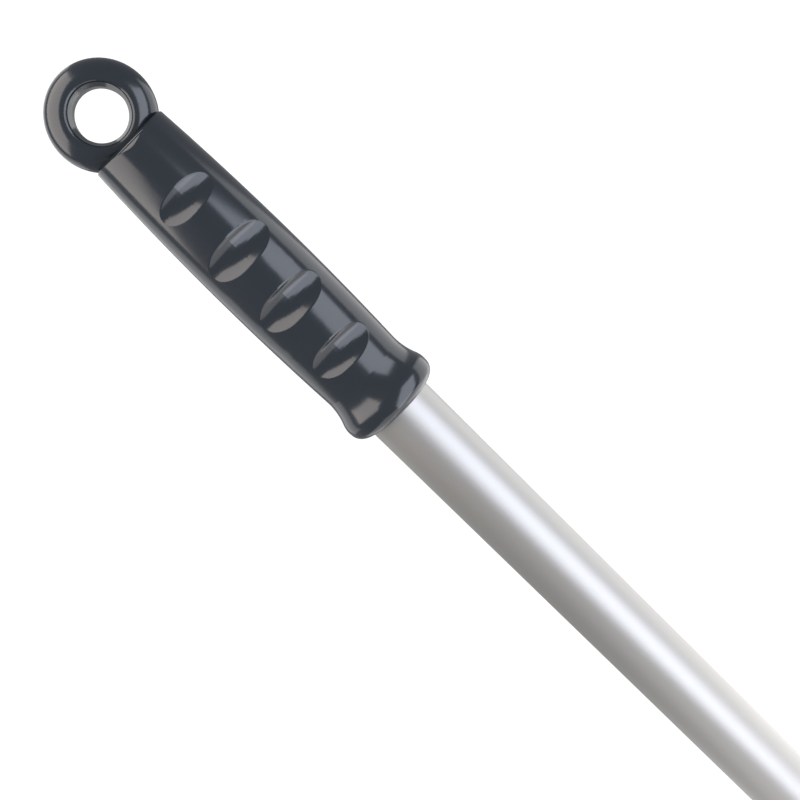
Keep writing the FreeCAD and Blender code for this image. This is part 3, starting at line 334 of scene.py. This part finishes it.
for side in LEFT_RIGHT:
    ribbed_ring("ribbed_drum_" + side, "drive_drum_" + side, SHAFT_RADIUS + RUNNING_GAP,
                DRUM_RIBS, DRUM_RIB_MM, "brush", drum_finish)
    for end in FRONT_BACK:
        corner = end + "_" + side
        ribbed_ring("ribbed_tyre_" + corner, "tyre_" + corner, HUB_RADIUS + RUNNING_GAP,
                    TYRE_RIBS, TYRE_RIB_MM, "wheel_" + corner, tyre_finish)


# ---------------------------------------------------------------- bristles

# The brush's tufts stand 3.5 mm deep in the core, and their tips end 0.2 mm inside the bristles'
# CAD solid. TUFT_SHAKE is in degrees, and UNEVEN is the share by which filaments differ in length.
BRUSH_ROWS = 4
BRUSH_TUFTS = 38
BRUSH_WINDING = 1 / 6
TUFT_SHAKE = 2.5
CORE_FOOT = reach("brush_core").y / 2 - 3.5 * MM
BRISTLE_REACH = reach("brush_bristles").z / 2 - 0.2 * MM
BRISTLE_HALF_LENGTH = reach("brush_bristles").x / 2 - 2.5 * MM
EDGE_RADIUS_MM = 2.48
GOLDEN_ANGLE = math.pi * (3 - math.sqrt(5))
UNEVEN = 0.05


def tuft(name, filaments, foot_mm, tip_mm, length, thin_mm):
    """A bundle of tapering filaments along +Z from the origin, spread a little at the tips.

    They stand in a sunflower pattern, and their lengths differ by a few per cent.
    """
    thick, thin = thin_mm * MM, thin_mm * MM * 0.5
    bpy.ops.object.select_all(action="DESELECT")
    bpy.ops.mesh.primitive_cone_add(vertices=3, radius1=thick, radius2=thin,
                                    depth=length, location=(0, 0, length / 2))
    bundle = bpy.context.object
    bundle.name = name
    bpy.ops.object.transform_apply(location=True, rotation=True, scale=True)
    bpy.ops.object.mode_set(mode="EDIT")
    for number in range(1, filaments):
        share = math.sqrt(number / filaments)
        angle = number * GOLDEN_ANGLE
        lean = math.atan((tip_mm - foot_mm) * MM * share / length)
        out = (foot_mm + tip_mm) / 2 * MM * share
        long = length * (1 - UNEVEN * ((number * 7) % 5) / 5)
        bpy.ops.mesh.primitive_cone_add(
            vertices=3, radius1=thick, radius2=thin, depth=long,
            location=(out * math.cos(angle), out * math.sin(angle), long / 2),
            rotation=(-lean * math.sin(angle), lean * math.cos(angle), 0))
    bpy.ops.object.mode_set(mode="OBJECT")
    bundle.data.materials.append(bristle_finish)
    return bundle


def set_out(bundle, places, name):
    """Copies of a bundle at the given matrices, joined into one piece."""
    copies = []
    for place in places:
        copy = bundle.copy()
        copy.data = bundle.data.copy()
        bpy.context.scene.collection.objects.link(copy)
        copy.matrix_world = place
        copies.append(copy)
    bpy.data.objects.remove(bundle)
    bpy.context.view_layer.update()
    bpy.ops.object.select_all(action="DESELECT")
    for copy in copies:
        copy.select_set(True)
    bpy.context.view_layer.objects.active = copies[0]
    bpy.ops.object.join()
    joined = bpy.context.object
    joined.name = name
    bpy.ops.object.transform_apply(location=True, rotation=True, scale=True)
    return joined


def brush_places():
    """Four rows of tufts, winding a sixth of a turn along the core."""
    centre = middle("brush_core")
    places = []
    for row in range(BRUSH_ROWS):
        for number in range(BRUSH_TUFTS):
            share = number / (BRUSH_TUFTS - 1)
            angle = math.tau * (row / BRUSH_ROWS + share * BRUSH_WINDING)
            shake = math.radians(random.uniform(-TUFT_SHAKE, TUFT_SHAKE))
            stand = Matrix.Rotation(angle + shake, 4, "X")
            along = Vector((BRISTLE_HALF_LENGTH * (2 * share - 1), 0, 0))
            step = Matrix.Translation(centre + along)
            places.append(step @ stand @ Matrix.Translation((0, 0, CORE_FOOT)))
    return places


random.seed(11)
sweeping_tuft = tuft("brush_tuft", filaments=14, foot_mm=1.0, tip_mm=2.3,
                     length=BRISTLE_REACH - CORE_FOOT, thin_mm=0.33)
sweeping = set_out(sweeping_tuft, brush_places(), "brush_tufts")
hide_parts("brush_bristles")
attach(sweeping, "brush")

tufts_low, tufts_high = (Vector(corner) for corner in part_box("corner_tufts"))
edge_tuft = tuft("edge_tuft", filaments=30, foot_mm=EDGE_RADIUS_MM - 0.5, tip_mm=EDGE_RADIUS_MM,
                 length=tufts_high.z - tufts_low.z, thin_mm=0.3)
inset = EDGE_RADIUS_MM * MM
hanging = Matrix.Rotation(math.pi, 4, "X")
edge_places = []
for x in (tufts_low.x + inset, tufts_high.x - inset):
    for y in (tufts_low.y + inset, tufts_high.y - inset):
        edge_places.append(Matrix.Translation((x, y, tufts_high.z)) @ hanging)
edges = set_out(edge_tuft, edge_places, "corner_edge_tufts")
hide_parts("corner_tufts")
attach(edges, "head")


# ---------------------------------------------------------------- springs

def squeezed(name, node, body):
    """A copy of the CAD spring, put on the given body in place of the CAD spring; its length stays
    as modelled.
    """
    source = NODES[node]
    spring = bpy.data.objects.new(name, source.data.copy())
    bpy.context.scene.collection.objects.link(spring)
    spring.matrix_world = source.matrix_world
    bpy.context.view_layer.update()
    bpy.ops.object.select_all(action="DESELECT")
    spring.select_set(True)
    bpy.context.view_layer.objects.active = spring
    bpy.ops.object.transform_apply(location=True, rotation=True, scale=True)
    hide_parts(node)
    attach(spring, body)
    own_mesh(spring)


for end in FRONT_BACK:
    node = "return_spring_" + end
    squeezed("return_coil_" + end, node,
             "head")

squeezed("snap_leaf", "snap_spring",
         "handle")


# ---------------------------------------------------------------- stage, light and camera

# The camera looks at the grip's rim from 12 degrees above the horizon, rolled by 45.5 degrees so
# that the upright handle leans across the picture. FOCAL and SENSOR are in millimetres.
SLOPE = math.radians(45.5)
TILT = math.radians(12.0)
FOCAL = 54.0
SENSOR = 36
DISTANCE = 0.362
AIM = Vector((0.0018, 0, RIM_HEIGHT + 0.0004))

# The side panels are placed from a point in the grip, 30 mm below the middle of the ring, which
# is nearly as wide as the rim.
PANEL_ORIGIN = Vector((0, 0, GRIP_HIGH.z - RIM_RADIUS)) - Vector((0, 0, 0.03))
ROOM_SEEN = 1.1
ROOM_REFLECTED = 0.33
FLOOR_SIZE = 2.4


def view_axes():
    """Right, up and back of the camera, as unit vectors."""
    level_right = Vector((1, 0, 0))
    level_up = Vector((0, math.sin(TILT), math.cos(TILT)))
    back = Vector((0, -math.cos(TILT), math.sin(TILT)))
    right = level_right * math.cos(SLOPE) - level_up * math.sin(SLOPE)
    up = level_right * math.sin(SLOPE) + level_up * math.cos(SLOPE)
    return right, up, back


RIGHT, UP, BACK = view_axes()


def make_camera():
    data = bpy.data.cameras.new("camera")
    data.lens = FOCAL
    data.sensor_width = SENSOR
    data.clip_start = 0.02
    data.clip_end = 60
    camera = bpy.data.objects.new("camera", data)
    bpy.context.scene.collection.objects.link(camera)
    turned = Matrix((RIGHT, UP, BACK)).transposed().to_4x4()
    camera.matrix_world = Matrix.Translation(AIM + BACK * DISTANCE) @ turned
    bpy.context.scene.camera = camera


def side_panel(name, side, out, near, far, low, high, shine, colour):
    """A softbox beside the grip, parallel to the line of sight, facing across it.

    It reaches from near to far towards the camera, and from low to high up the picture.
    """
    data = bpy.data.lights.new(name, "AREA")
    data.shape = "RECTANGLE"
    data.size = far - near
    data.size_y = high - low
    data.energy = shine * math.pi * data.size * data.size_y
    data.color = linear(colour)[:3]
    panel = bpy.data.objects.new(name, data)
    bpy.context.scene.collection.objects.link(panel)
    place = PANEL_ORIGIN + RIGHT * side * out + BACK * (near + far) / 2 + UP * (low + high) / 2
    away = RIGHT * side
    turned = Matrix((UP.cross(away), UP, away)).transposed().to_4x4()
    panel.matrix_world = Matrix.Translation(place) @ turned
    panel.visible_camera = False


def make_world():
    """A white room for the camera and soft light, dimmer in the reflections."""
    world = bpy.data.worlds.new("studio")
    bpy.context.scene.world = world
    world.use_nodes = True
    tree = world.node_tree
    tree.nodes.clear()
    ray = add_node(tree, "ShaderNodeLightPath")
    white = add_node(tree, "ShaderNodeBackground",
                     {"Color": linear("#FFFFFF"), "Strength": ROOM_SEEN})
    dim = add_node(tree, "ShaderNodeBackground",
                   {"Color": linear("#FFFFFF"), "Strength": ROOM_REFLECTED})
    mixed = add_node(tree, "ShaderNodeMixShader", None, {"Fac": (ray, "Is Glossy Ray")})
    tree.links.new(white.outputs[0], mixed.inputs[1])
    tree.links.new(dim.outputs[0], mixed.inputs[2])
    add_node(tree, "ShaderNodeOutputWorld", None, {"Surface": (mixed, 0)})


def make_floor():
    bpy.ops.object.select_all(action="DESELECT")
    bpy.ops.mesh.primitive_plane_add(size=FLOOR_SIZE, location=(0, 0, 0))
    floor = bpy.context.object
    floor.name = "floor"
    material, _, _ = new_material("pale matt floor", "#FCFCFC", roughness=1.0,
                                  Specular_IOR_Level=0.0)
    floor.data.materials.append(material)


def make_lights():
    """Warm light from the left, cool from the right, and paler boards behind the grip."""
    side_panel("softbox left", -1, out=0.6, near=-0.05, far=1.25, low=-0.58, high=0.74,
               shine=3.0, colour="#FFF5EE")
    side_panel("softbox right", 1, out=0.6, near=0.19, far=1.1, low=-0.6, high=0.5,
               shine=3.0, colour="#EBF0FF")
    side_panel("reflector left", -1, out=0.62, near=-1.3, far=-0.3, low=-0.9, high=0.8,
               shine=0.8, colour="#FFFFFF")
    side_panel("reflector right", 1, out=0.62, near=-1.3, far=0.0, low=-0.9, high=0.8,
               shine=1.3, colour="#FFFFFF")


bpy.context.scene.view_settings.view_transform = "Standard"
make_world()
make_floor()
make_lights()
make_camera()
